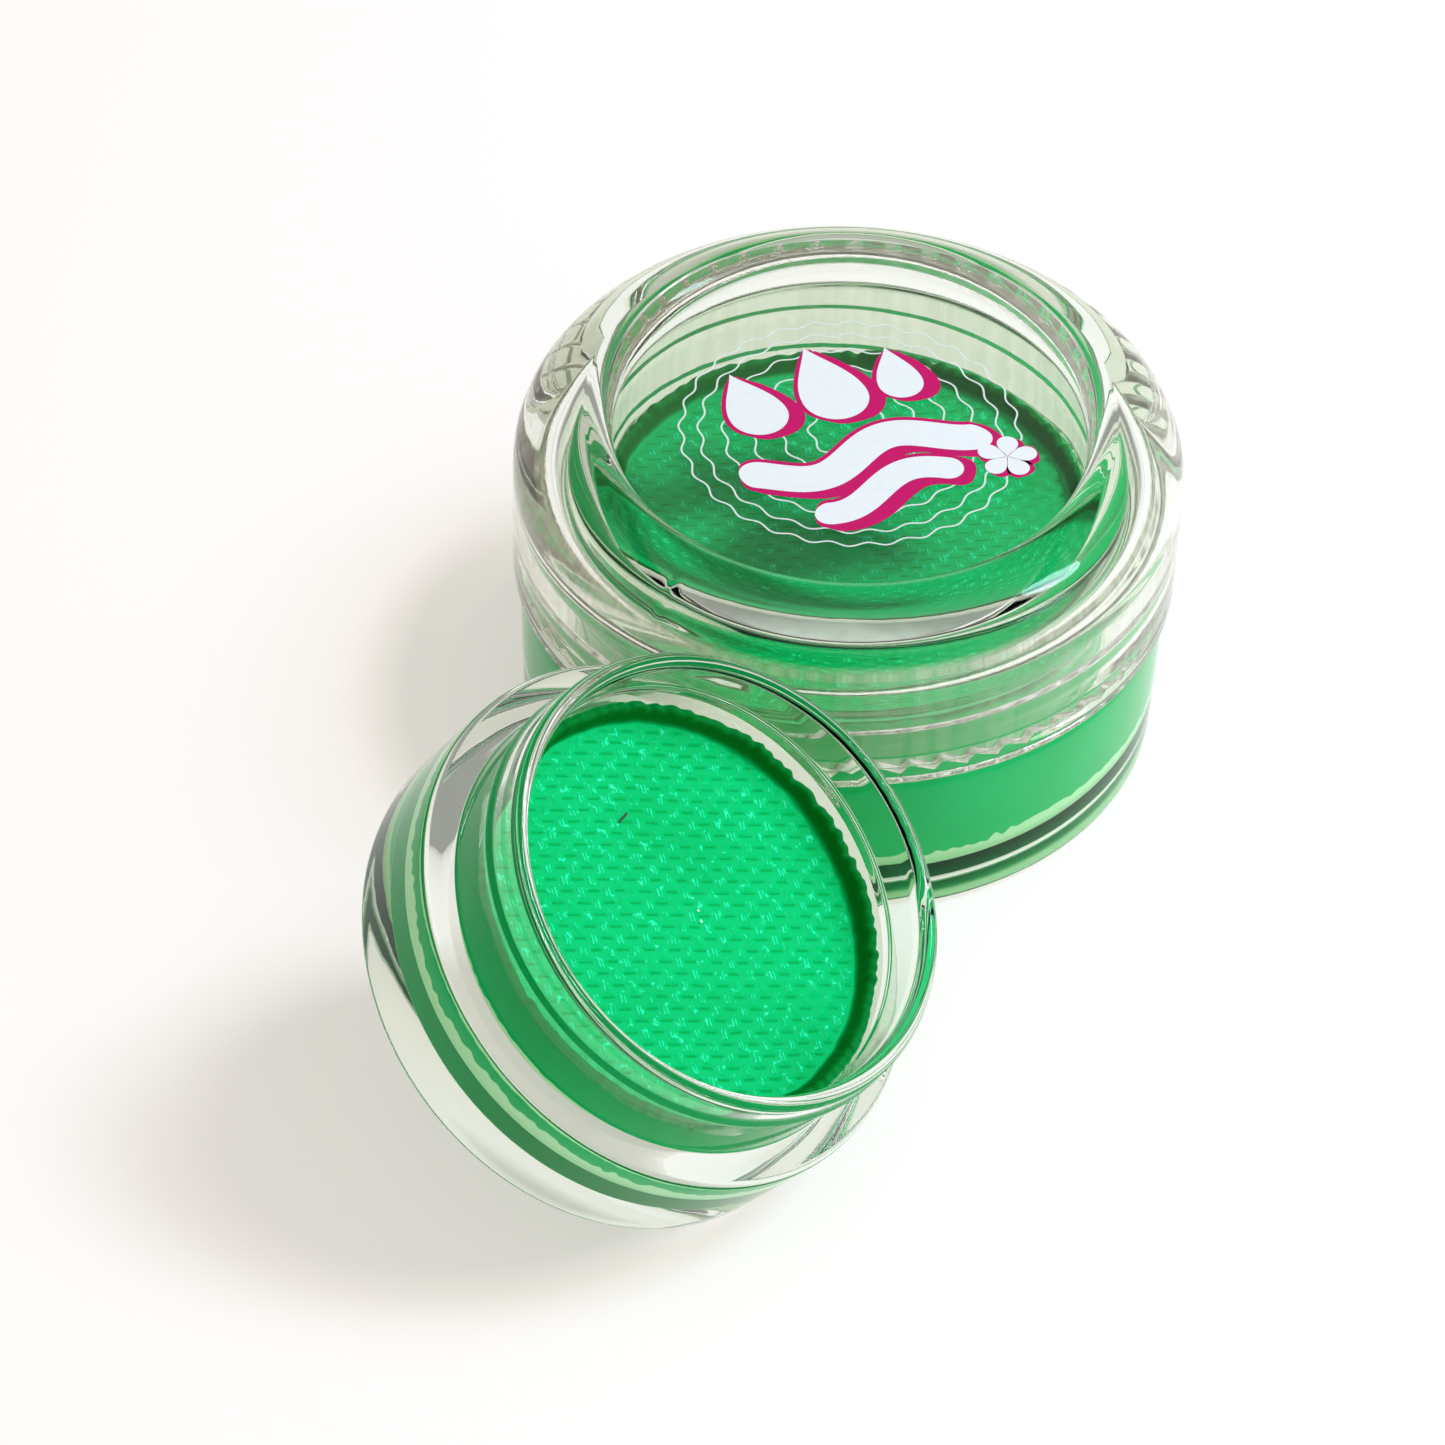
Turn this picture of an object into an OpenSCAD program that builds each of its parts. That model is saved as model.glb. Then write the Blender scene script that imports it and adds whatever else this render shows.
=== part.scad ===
// Two clear screw-lid pots of pressed, water-activated paint: the large one stands closed,
// and the small one stands open, tipped back against the side of the large lid.
// The origin is the middle of the large pot's base, +Z is up, and sizes are in millimetres.

/* [Large pot] */
// Diameter of the large jar's body, below its lid
large_body_d = 38.3; // [37:0.1:40]
// Height of the large jar's body, from its base to the shoulder under the lid
large_shoulder_h = 10.4; // [9:0.1:16]
// Outside diameter of the large jar's neck, without its thread
large_neck_d = 31.6; // [28:0.1:32.5]
// Height of the large jar's neck above the shoulder
large_neck_h = 7.8; // [6.5:0.1:12]
// Height of the large cup's floor above the ground
large_floor = 1.1; // [0.9:0.05:3]
// Depth of the recess in the large jar's base, under the cup
large_base_recess = 0.25; // [0.1:0.05:0.4]
// Depth of the pressed paint in the large jar
large_fill = 11.2; // [6:0.1:12]

/* [Large lid] */
// Outside diameter of the lid
lid_d = 39.1; // [38.5:0.1:44]
// Depth of the lid's bore, from the skirt's edge to the ceiling that meets the rim
lid_bore_h = 7.54; // [6.5:0.02:12]
// Thickness of the lid's top plate under the recess
lid_plate = 2.1; // [1.2:0.1:3]
// Radius of the lid's round shoulder
lid_shoulder_r = 4; // [2.5:0.1:4.4]
// Height of the lid's round crown above the edge of the recess inside it
lid_crown_h = 1.2; // [0.3:0.05:1.3]
// Diameter of the shallow recess in the lid's top
recess_d = 27.7; // [22:0.1:28.6]
// Depth of the recess
recess_depth = 0.6; // [0.3:0.05:1]
// Space between the neck and the lid's bore, where the threads lie
thread_room = 0.6; // [0.4:0.05:0.9]

/* [Ratchet ring] */
// Number of ratchet teeth on the underside of the lid's skirt
tooth_count = 60; // [36:1:72]
// Height of a tooth
tooth_h = 0.6; // [0.3:0.05:0.9]
// How far the tips of the teeth stay up inside the skirt's edge
tooth_inset = 0.12; // [0.05:0.01:0.3]
// Width of the ring of teeth, measured outwards from the bore
tooth_ring_w = 1.5; // [0.8:0.1:2]

/* [Label] */
// Thickness of the clear label film
label_t = 0.15; // [0.1:0.01:0.25]
// Bare margin between the film and the edge of the recess
label_margin = 0.35; // [0.2:0.05:1]

/* [Small pot] */
// Diameter of the small jar's body
small_body_d = 30.8; // [28:0.1:36]
// Height of the small jar's body, from its base to the shoulder
small_shoulder_h = 7.75; // [6:0.05:12]
// Outside diameter of the small jar's neck, without its thread
small_neck_d = 26.6; // [23:0.1:27.5]
// Height of the small jar's neck above the shoulder
small_neck_h = 6.4; // [5:0.1:10]
// Height of the small cup's floor above the base
small_floor = 3.5; // [3:0.1:4.5]
// Depth of the recess in the small jar's base, under the cup
small_base_recess = 2.2; // [1:0.1:2.4]
// Depth of the pressed paint in the small jar
small_fill = 5.1; // [3:0.1:7]

/* [Moulding] */
// Thickness of a jar's neck wall at the rim
rim_wall = 0.95; // [0.7:0.05:1.4]
// Taper of each moulded side, on the radius
draft = 0.25; // [0.1:0.05:0.4]
// How much a recess in a base widens for each millimetre down to the ground
recess_flare = 0.9; // [0.2:0.05:1.1]
// Rounding at the foot of a jar
foot_round = 0.7; // [0.3:0.05:1.2]
// Rounding of the shoulder's edge and of the skirt's edge
edge_round = 0.4; // [0.2:0.05:0.6]
// Rounding inside the cups and at the ceiling of the lid
inner_round = 0.9; // [0.4:0.05:1.4]

/* [Pressed paint] */
// Height of the lip that the press leaves round the wall
lip_h = 1.2; // [0.6:0.1:2]
// Thickness of the lip at its foot
lip_w = 0.55; // [0.3:0.05:1]
// Thickness of the lip at its ragged top
lip_tip = 0.2; // [0.1:0.05:0.3]

/* [Fits] */
// Gap between a cake and the wall of its cup
cake_gap = 0.03; // [0.02:0.01:0.1]
// Gap between a jar's rim and the lid's ceiling
seat_gap = 0.1; // [0.05:0.05:0.2]
// Gap left where the small pot leans on the lid
lean_gap = 0.25; // [0.2:0.05:0.5]

/* [Arrangement] */
// How far the small pot is tipped from upright
lean_tilt = 34.6; // [25:0.1:45]
// Compass direction in which the small pot's mouth faces, from +X
lean_facing = -27.4; // [-60:0.1:0]
// Direction from the large pot to the foot of the small one, from +X
stand_direction = -112.2; // [-135:0.1:-90]

/* [Hidden] */
$fn = 96;

plastic = [0.80, 0.88, 0.83, 0.45];
film = [0.95, 0.97, 0.98, 0.6];
paint = [0.0, 0.74, 0.40];

arc_steps = 6;
lid_r = lid_d / 2;
recess_r = recess_d / 2;
bore_r = large_neck_d / 2 + thread_room;
large_h = large_shoulder_h + large_neck_h;
small_h = small_shoulder_h + small_neck_h;
lid_ceiling = large_h + seat_gap;
skirt_z = lid_ceiling - lid_bore_h;
recess_z = lid_ceiling + lid_plate;
lid_top = recess_z + recess_depth;
crown_r = lid_r - lid_shoulder_r;
crown_z = lid_top + lid_crown_h;
// Radius and sweep of the arc that falls from the crown to the edge of the recess
crown_in = crown_r - recess_r;
crown_bow = (crown_in * crown_in + lid_crown_h * lid_crown_h) / (2 * lid_crown_h);
crown_sweep = asin(crown_in / crown_bow);
groove_h = tooth_h + tooth_inset;
// How far a tooth runs up into the skirt, and past the ring on each side, so that it is one with it
tooth_root = 0.06;
tooth_over = 0.2;
// Share of the pitch that a tooth takes at the bore, and where its tip lies along it
tooth_share = 0.88;
tooth_tip_at = 0.78;

// Points of an arc about [cx, cy], from one angle to another
function arc(cx, cy, r, from, to) = [
    for (i = [0 : arc_steps])
        let (a = from + (to - from) * i / arc_steps)
            [cx + r * cos(a), cy + r * sin(a)]
];

// Radius of a cup's side at its rim, and at its floor
function cup_r(neck_d) = neck_d / 2 - rim_wall;
function cup_foot_r(neck_d) = cup_r(neck_d) - draft;
// Radius of a cup's side at height z, where the cup runs from its floor to its rim
function cup_r_at(neck_d, floor_z, rim_z, z) =
    cup_foot_r(neck_d) + draft * (z - floor_z) / (rim_z - floor_z);

// Outside of a jar from its foot to the root of its neck
function jar_outside(body_d, shoulder_h) = concat(
    arc(body_d / 2 - draft - foot_round, foot_round, foot_round, -90, 0),
    arc(body_d / 2 - edge_round, shoulder_h - edge_round, edge_round, 0, 90)
);

// Section of a whole jar: base recess, foot, shoulder, neck, round rim and cup
function jar_section(body_d, shoulder_h, neck_d, neck_h, floor_z, base_recess) =
    let (
        rim_z = shoulder_h + neck_h,
        foot_r = cup_foot_r(neck_d),
        stand_r = body_d / 2 - draft - foot_round - 0.3,
        flare_r = min(foot_r + recess_flare * base_recess, stand_r)
    )
    concat(
        [[0, base_recess], [foot_r, base_recess], [flare_r, 0]],
        jar_outside(body_d, shoulder_h),
        [[neck_d / 2, shoulder_h]],
        arc(neck_d / 2 - rim_wall / 2, rim_z - rim_wall / 2, rim_wall / 2, 0, 180),
        arc(foot_r - inner_round, floor_z + inner_round, inner_round, 0, -90),
        [[0, floor_z]]
    );

// Section of a pressed cake: it fills the cup to its depth, and its lip climbs the wall
function cake_section(neck_d, floor_z, rim_z, depth) =
    let (
        foot_r = cup_foot_r(neck_d) - cake_gap,
        top_z = floor_z + depth,
        lip_z = top_z + lip_h,
        lip_r = cup_r_at(neck_d, floor_z, rim_z, lip_z) - cake_gap,
        under_z = floor_z + cake_gap
    )
    concat(
        [[0, under_z]],
        arc(foot_r - inner_round, under_z + inner_round, inner_round, -90, 0),
        [[lip_r, lip_z], [lip_r - lip_tip, lip_z], [lip_r - lip_w, top_z], [0, top_z]]
    );

module jar(body_d, shoulder_h, neck_d, neck_h, floor_z, base_recess) {
    color(plastic)
        rotate_extrude()
            polygon(jar_section(body_d, shoulder_h, neck_d, neck_h, floor_z, base_recess));
}

module cake(neck_d, floor_z, rim_z, depth) {
    color(paint)
        rotate_extrude()
            polygon(cake_section(neck_d, floor_z, rim_z, depth));
}

// Points of the slope inside the lid's crown, after the crown itself, down to the edge of the recess
function crown_slope() = [
    for (i = [1 : arc_steps])
        let (a = crown_sweep * i / arc_steps)
            [crown_r - crown_bow * sin(a), crown_z - crown_bow * (1 - cos(a))]
];

// Outside of the lid as one solid: skirt, round shoulder and crown, and the top with its recess
module lid_outside() {
    rotate_extrude()
        polygon(concat(
            [[0, skirt_z]],
            arc(lid_r - edge_round, skirt_z + edge_round, edge_round, -90, 0),
            arc(crown_r, crown_z - lid_shoulder_r, lid_shoulder_r, 0, 90),
            crown_slope(),
            [[recess_r, recess_z], [0, recess_z]]
        ));
}

// Bore of the lid, open below, with a rounded ceiling
module lid_bore() {
    rotate_extrude()
        polygon(concat(
            [[0, skirt_z - groove_h], [bore_r, skirt_z - groove_h]],
            arc(bore_r - inner_round, lid_ceiling - inner_round, inner_round, 0, 90),
            [[0, lid_ceiling]]
        ));
}

// Groove that leaves room for the teeth on the inner half of the skirt's edge
module tooth_groove() {
    translate([0, 0, skirt_z - groove_h])
        cylinder(r = bore_r + tooth_ring_w, h = 2 * groove_h);
}

// One ratchet tooth: a long ramp down to its tip, and a short steep back
module ratchet_tooth() {
    inner_r = bore_r - tooth_over;
    width = tooth_share * 2 * PI * inner_r / tooth_count * (1 + tooth_root / tooth_h);
    translate([inner_r, 0, skirt_z])
        rotate([90, 0, 90])
            linear_extrude(height = tooth_ring_w + 2 * tooth_over)
                polygon([
                    [-width / 2, groove_h + tooth_root],
                    [(tooth_tip_at - 0.5) * width, tooth_inset],
                    [width / 2, groove_h + tooth_root]
                ]);
}

// Places the small pot: tipped back, its foot on the ground, its side against the lid
module lean() {
    translate([
        stand_distance * cos(stand_direction),
        stand_distance * sin(stand_direction),
        lean_height
    ])
        rotate([0, lean_tilt, lean_facing])
            children();
}

// Height of the middle of the tipped base, at which its lowest point meets the ground
lean_height = max([
    for (p = jar_outside(small_body_d, small_shoulder_h))
        p[0] * sin(lean_tilt) - p[1] * cos(lean_tilt)
]);

// Plan of the small pot's outline circles, seen from above, about the middle of its base
function tipped_plan(r, h, a) =
    let (
        along = r * cos(a) * cos(lean_tilt) + h * sin(lean_tilt),
        across = r * sin(a)
    )
    [
        along * cos(lean_facing) - across * sin(lean_facing),
        along * sin(lean_facing) + across * cos(lean_facing)
    ];

// Distance at which a point of the small pot stands lean_gap off the lid's side
function distance_for(p, reach) =
    let (
        d = [cos(stand_direction), sin(stand_direction)],
        side = p[0] * d[1] - p[1] * d[0]
    )
    sqrt(max(0, reach * reach - side * side)) - (p[0] * d[0] + p[1] * d[1]);

outline_circles = concat(
    jar_outside(small_body_d, small_shoulder_h),
    [[small_neck_d / 2, small_h]]
);
stand_distance = max([
    for (c = outline_circles)
        for (a = [0 : 2 : 358])
            distance_for(tipped_plan(c[0], c[1], a), lid_r + lean_gap)
]);

module large_jar() {
    jar(large_body_d, large_shoulder_h, large_neck_d, large_neck_h, large_floor, large_base_recess);
}

module large_paint() {
    cake(large_neck_d, large_floor, large_h, large_fill);
}

module large_lid() {
    color(plastic)
        difference() {
            union() {
                difference() {
                    lid_outside();
                    tooth_groove();
                }
                for (i = [0 : tooth_count - 1])
                    rotate([0, 0, i * 360 / tooth_count])
                        ratchet_tooth();
            }
            lid_bore();
        }
}

module lid_label() {
    color(film)
        translate([0, 0, recess_z])
            cylinder(r = recess_r - label_margin, h = label_t);
}

module small_jar() {
    lean()
        jar(small_body_d, small_shoulder_h, small_neck_d, small_neck_h, small_floor, small_base_recess);
}

module small_paint() {
    lean()
        cake(small_neck_d, small_floor, small_h, small_fill);
}

large_jar();
large_paint();
large_lid();
lid_label();
small_jar();
small_paint();
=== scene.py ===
import math

import bpy
import numpy as np
from mathutils import Matrix, Vector


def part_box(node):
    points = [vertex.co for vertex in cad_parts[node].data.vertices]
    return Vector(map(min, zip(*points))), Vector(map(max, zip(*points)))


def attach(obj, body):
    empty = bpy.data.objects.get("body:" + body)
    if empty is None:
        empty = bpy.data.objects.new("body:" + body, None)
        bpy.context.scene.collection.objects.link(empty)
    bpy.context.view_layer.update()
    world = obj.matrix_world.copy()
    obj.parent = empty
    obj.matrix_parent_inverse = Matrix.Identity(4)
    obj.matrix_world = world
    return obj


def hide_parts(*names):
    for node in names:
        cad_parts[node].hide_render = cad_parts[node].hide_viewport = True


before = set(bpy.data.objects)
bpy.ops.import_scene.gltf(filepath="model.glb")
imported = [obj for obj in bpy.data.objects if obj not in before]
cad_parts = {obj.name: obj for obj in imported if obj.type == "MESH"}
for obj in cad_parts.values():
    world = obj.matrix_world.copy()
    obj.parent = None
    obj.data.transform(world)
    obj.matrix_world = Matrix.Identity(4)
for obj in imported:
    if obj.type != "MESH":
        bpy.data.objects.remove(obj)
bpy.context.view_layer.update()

# ---------------------------------------------------------------------------
# Sizes, in millimetres, taken from the frame where a node's box gives them
# ---------------------------------------------------------------------------
# A millimetre in metres, and how far off a radius or height may be to count as the one meant
MM = 0.001
NEAR = 0.01


def span(node):
    """Lowest and highest corner of a node's box, in millimetres."""
    low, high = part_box(node)
    return np.array(low) / MM, np.array(high) / MM


jar_high = span("large_jar")[1]
lid_low, lid_high = span("large_lid")
label_low, label_high = span("lid_label")
cake_high = span("large_paint")[1]

# Jars: the cup's wall at the rim, the taper over the full height, and the radii of the rounded edges
RIM_WALL = 0.95
DRAFT = 0.25
FOOT_ROUND = 0.7
EDGE_ROUND = 0.4
INNER_ROUND = 0.9
SHARP_ROUND = 0.12
RIM_ROUND = RIM_WALL * 0.48

# Screw thread: the room between neck and bore, the rise in one turn, the share of a turn in which an end
# fades out, and how wide the ridges are and how far they stand out
THREAD_ROOM = 0.6
THREAD_LEAD = 3.0
THREAD_FADE = 0.06
NECK_THREAD_W = 0.5
NECK_THREAD_H = 0.17
BORE_THREAD_W = 0.7
BORE_THREAD_H = 0.15

# Cakes: height and width of the ragged lip, how far the paint bites into the cup's wall, and how much
# shade is painted on the paint underneath
LIP_H = 1.2
LIP_W = 0.9
PAINT_BITE = 0.03
FOOT_SHADE = 0.35

# Each pot's own sizes. The side's painted shade and painted light are shares from 0 to 1 for the paint's
# colour.
LARGE = {
    "body_r": jar_high[0],
    "shoulder_z": 10.4,
    "neck_r": 15.8,
    "rim_z": jar_high[2],
    "recess_z": 0.25,
    "flare": 0.225,
    "side_shade": 0.0,
    "side_painted_light": 0.03,
    "floor_z": 1.1,
    "cake_z": cake_high[2] - LIP_H,
}
SMALL = {
    "body_r": 15.375,
    "shoulder_z": 7.75,
    "neck_r": 13.3,
    "rim_z": 14.14,
    "recess_z": 2.2,
    "flare": 1.98,
    "side_shade": 0.3,
    "side_painted_light": 0.0,
    "floor_z": 3.5,
    "cake_z": 8.6,
}

# Lid: skirt, round shoulder, crown that slopes down to the recess, and the ring of ratchet teeth
LID_R = lid_high[0]
LID_TOP = lid_high[2]
SKIRT_Z = lid_low[2]
CEILING_Z = 18.3
RECESS_Z = label_low[2]
RECESS_DEPTH = 0.6
RECESS_EDGE_Z = RECESS_Z + RECESS_DEPTH
RECESS_R = 13.85
BORE_R = LARGE["neck_r"] + THREAD_ROOM
SHOULDER_R = 4.0
TOOTH_COUNT = 60
TOOTH_H = 0.6
TOOTH_INSET = 0.12
TOOTH_RING = 1.5
TOOTH_RAMP = 0.76

# Frosting of the lid's faces that are not polished against that of its bore: more at the bore's top, where it
# is a painted highlight ring, and on the teeth
TOP_PAINTED_HIGHLIGHT = 1.2
TEETH_HAZE = 1.6

# Mould nub on the lid's shoulder: where it sits, its half-width, its half-length and its height
NUB_TURN = math.radians(-123.6)
NUB_R = 18.3
NUB_WIDE = 0.26
NUB_LONG = 0.55
NUB_H = 0.098

# The small pot's lean: its tilt, the way it faces, and the place of its foot
LEAN_TILT = math.radians(34.6)
LEAN_FACING = math.radians(-27.4)
SMALL_FOOT = (-13.1797, -32.2959, 8.3269)

LEAN = (
    Matrix.Translation(SMALL_FOOT)
    @ Matrix.Rotation(LEAN_FACING, 4, "Z")
    @ Matrix.Rotation(LEAN_TILT, 4, "Y")
)
UPRIGHT = Matrix.Identity(4)


# ---------------------------------------------------------------------------
# Meshes
# ---------------------------------------------------------------------------
def smooth(t):
    """Smoothstep: 3t^2 - 2t^3 of t held between 0 and 1."""
    t = np.clip(t, 0.0, 1.0)
    return t * t * (3.0 - 2.0 * t)


def ripple(angle, seed, waves, falloff=0.6):
    """A closed wander round a circle: cosines of 1 to `waves` cycles with seeded phases, each weaker."""
    rng = np.random.default_rng(seed)
    cycles = np.arange(1, waves + 1)
    phases = rng.uniform(0, 2 * np.pi, waves)
    weights = rng.uniform(0.4, 1.0, waves) / cycles ** falloff
    weights /= np.sqrt((weights ** 2).sum() / 2) * 2
    return (weights * np.cos(cycles * np.asarray(angle)[..., None] + phases)).sum(-1)


def section(corners, turn=10):
    """Rows (r, z) of a section. Each corner is (r, z, radius, step): it is turned by an arc of that radius,
    and the straight run that leaves it is cut into pieces no longer than step."""
    points = np.array([c[:2] for c in corners], float)
    rows, steps = [points[0]], [corners[0][3]]
    for before, here, after, corner in zip(points[:-2], points[1:-1], points[2:], corners[1:-1]):
        back = (before - here) / np.linalg.norm(before - here)
        ahead = (after - here) / np.linalg.norm(after - here)
        half = math.acos(float(np.clip(back @ ahead, -1, 1))) / 2
        middle = here + (back + ahead) / np.linalg.norm(back + ahead) * corner[2] / math.sin(half)
        first = here + back * corner[2] / math.tan(half) - middle
        last = here + ahead * corner[2] / math.tan(half) - middle
        sweep = math.pi - 2 * half
        t = np.linspace(0, 1, turn)[:, None]
        arc = middle + (np.sin((1 - t) * sweep) * first + np.sin(t * sweep) * last) / math.sin(sweep)
        rows += list(arc)
        steps += [1e9] * (turn - 1) + [corner[3]]
    rows.append(points[-1])
    pieces = []
    for a, b, step in zip(rows[:-1], rows[1:], steps):
        count = max(1, math.ceil(np.linalg.norm(b - a) / step))
        pieces.append(a + (b - a) * np.arange(count)[:, None] / count)
    return np.vstack(pieces + [rows[-1][None]])


def make_mesh(name, points, faces, place=UPRIGHT):
    """A smooth mesh object from points in millimetres, put in its place and turned to metres."""
    turned = points @ np.array(place.to_3x3()).T + np.array(place.translation)
    mesh = bpy.data.meshes.new(name)
    mesh.from_pydata((turned * MM).tolist(), [], [f.tolist() for f in faces])
    mesh.polygons.foreach_set("use_smooth", np.ones(len(mesh.polygons), bool))
    mesh.update()
    piece = bpy.data.objects.new(name, mesh)
    bpy.context.scene.collection.objects.link(piece)
    return piece


def set_map(piece, name, values):
    """Keeps three numbers for each point of a piece, for its material to read."""
    layer = piece.data.attributes.new(name, "FLOAT_VECTOR", "POINT")
    layer.data.foreach_set("vector", np.ascontiguousarray(values, float).reshape(-1))


def ring_faces(rows, turns, start=0):
    """Quads of a grid of `rows` rings with `turns` points each, closed round the ring."""
    index = start + np.arange(rows * turns).reshape(rows, turns)
    beside = np.roll(index, -1, axis=1)
    return np.stack([index[:-1], beside[:-1], beside[1:], index[1:]], -1).reshape(-1, 4)


def lathe(name, rows, turns, shape=None, place=UPRIGHT):
    """A turned piece: (r cos a, r sin a, z) for each row (r, z) of its section and each angle a.
    The first and last rows lie on the axis and become poles. shape(a, r, z) may move r and z."""
    angle = np.arange(turns) * 2 * np.pi / turns
    r = np.repeat(rows[1:-1, :1], turns, 1)
    z = np.repeat(rows[1:-1, 1:], turns, 1)
    if shape:
        r, z = shape(angle[None, :], r, z)
    grid = np.stack([r * np.cos(angle), r * np.sin(angle), z], -1).reshape(-1, 3)
    poles = np.array([[0, 0, rows[0, 1]], [0, 0, rows[-1, 1]]])
    count = len(rows) - 2
    first = np.arange(turns)
    last = first + (count - 1) * turns
    low_pole, high_pole = len(grid), len(grid) + 1
    faces = list(ring_faces(count, turns))
    faces += list(np.stack([np.full(turns, low_pole), np.roll(first, -1), first], 1))
    faces += list(np.stack([np.full(turns, high_pole), last, np.roll(last, -1)], 1))
    return make_mesh(name, np.vstack([grid, poles]), faces, place)


def thread_height(angle, z, start_z, turns, width, phase=0.0):
    """Height, 0 to 1, of a helical ridge: at each point, how near z lies to the helix
    start_z + lead * turns along it, faded out at both ends of the thread. Its flanks are as wide as it is."""
    along = angle / (2 * np.pi) + phase
    turn = np.round((z - start_z) / THREAD_LEAD - along) + along
    off = np.abs(z - start_z - turn * THREAD_LEAD)
    ends = smooth(turn / THREAD_FADE) * smooth((turns - turn) / THREAD_FADE)
    return smooth((width / 2 - off) / width + 0.5) * ends


# ---------------------------------------------------------------------------
# Shader maths
# ---------------------------------------------------------------------------
class Val:
    """A socket that can be reckoned with: each operator adds a Math node, named after what it does."""

    def __init__(self, shader, socket):
        self.shader, self.socket = shader, socket

    def math(self, operation, *others):
        return self.shader.add("ShaderNodeMath", {"operation": operation}, dict(enumerate((self, *others))))

    def __add__(self, other): return self.math("ADD", other)
    def __sub__(self, other): return self.math("SUBTRACT", other)
    def __mul__(self, other): return self.math("MULTIPLY", other)
    def __truediv__(self, other): return self.math("DIVIDE", other)
    def __neg__(self): return self.math("MULTIPLY", -1.0)
    def __rsub__(self, other): return (-self).math("ADD", other)
    __radd__, __rmul__ = __add__, __mul__

    def power(self, other): return self.math("POWER", other)
    def absolute(self): return self.math("ABSOLUTE")
    def fraction(self): return self.math("FRACT")
    def floor(self): return self.math("FLOOR")
    def at_least(self, other): return self.math("MAXIMUM", other)

    def step(self, low, high):
        """0 below low, 1 above high, and smooth between."""
        return self.shader.add("ShaderNodeMapRange", {"interpolation_type": "SMOOTHSTEP"},
                               {"Value": self, "From Min": low, "From Max": high})


class Shader:
    """The node tree of a material or of the world."""

    def __init__(self, owner):
        owner.use_nodes = True
        self.tree = owner.node_tree
        self.tree.nodes.clear()
        self.owner = owner

    def add(self, kind, settings=None, links=None, out=0):
        """Adds a node with its settings, then its values or links, and gives the output asked for."""
        node = self.tree.nodes.new(kind)
        for key, value in (settings or {}).items():
            setattr(node, key, value)
        for key, value in (links or {}).items():
            socket = node.inputs[key]
            if isinstance(value, Val):
                self.tree.links.new(value.socket, socket)
            elif isinstance(value, tuple) and socket.type == "RGBA" and len(value) == 3:
                socket.default_value = (*value, 1.0)
            else:
                socket.default_value = value
        return Val(self, node.outputs[out])

    def blend(self, factor, first, second):
        """Colour first, turning to second as factor goes from 0 to 1."""
        return self.add("ShaderNodeMix", {"data_type": "RGBA"}, {0: factor, 6: first, 7: second}, out=2)

    def part(self, vector, axis):
        """One number of a vector: axis 0, 1 or 2."""
        return self.add("ShaderNodeSeparateXYZ", {}, {0: vector}, out=axis)

    def ray(self, kind):
        """1 where the light path is of the kind named, and 0 elsewhere."""
        return self.add("ShaderNodeLightPath", out=kind)

    def finish(self, surface, kind="ShaderNodeOutputMaterial"):
        """Ends the tree with its output, and gives back what owns it."""
        node = self.tree.nodes.new(kind)
        self.tree.links.new(surface.socket, node.inputs["Surface"])
        return self.owner


def material(name):
    """An empty node tree for a new material."""
    return Shader(bpy.data.materials.new(name))


def noise(s, where, scale, detail=3.0, rough=0.5):
    """Noise from 0 to 1, with `scale` lumps in a metre."""
    return s.add("ShaderNodeTexNoise", {}, {
        "Vector": where, "Scale": scale, "Detail": detail, "Roughness": rough,
    })


# ---------------------------------------------------------------------------
# Materials
# ---------------------------------------------------------------------------
PLASTIC_IOR = 1.58
PLASTIC_TINT = (0.915, 0.955, 0.890)
PAINT_GREEN = (0.000, 0.520, 0.150)
# Dark green for a darker tone that varies at random, and for the painted shade in the weave's grooves
PAINT_DARK_TONE_AND_SHADE = (0.000, 0.300, 0.045)
# Bright turquoise of painted highlights on the weave
PAINT_GLINT_HIGHLIGHT = (0.020, 0.840, 0.420)
# Pale green of painted light, a pale veil where the paint meets the clear wall
PAINT_PAINTED_LIGHT = (0.420, 0.860, 0.500)
# Darkest green of painted shade on the lip, the side and the foot
PAINT_SHADE = (0.000, 0.150, 0.012)

# Press cloth, in millimetres: the spacing of its rows and of the yarns that cross them, and half a yarn.
# From row to row the yarns step on by a share of their spacing. They slant, and sit a little below the row.
WEAVE_ROW = 0.678
WEAVE_PERIOD = 1.68
YARN_HALF = 0.15
WEAVE_STAGGER = 0.47
WEAVE_SLANT = 0.12
WEAVE_DROP = 0.12
PAD_H = 0.05
GROOVE_H = 0.07
LARGE_GRAIN = math.radians(8)
SMALL_GRAIN = math.radians(47.6)


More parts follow.
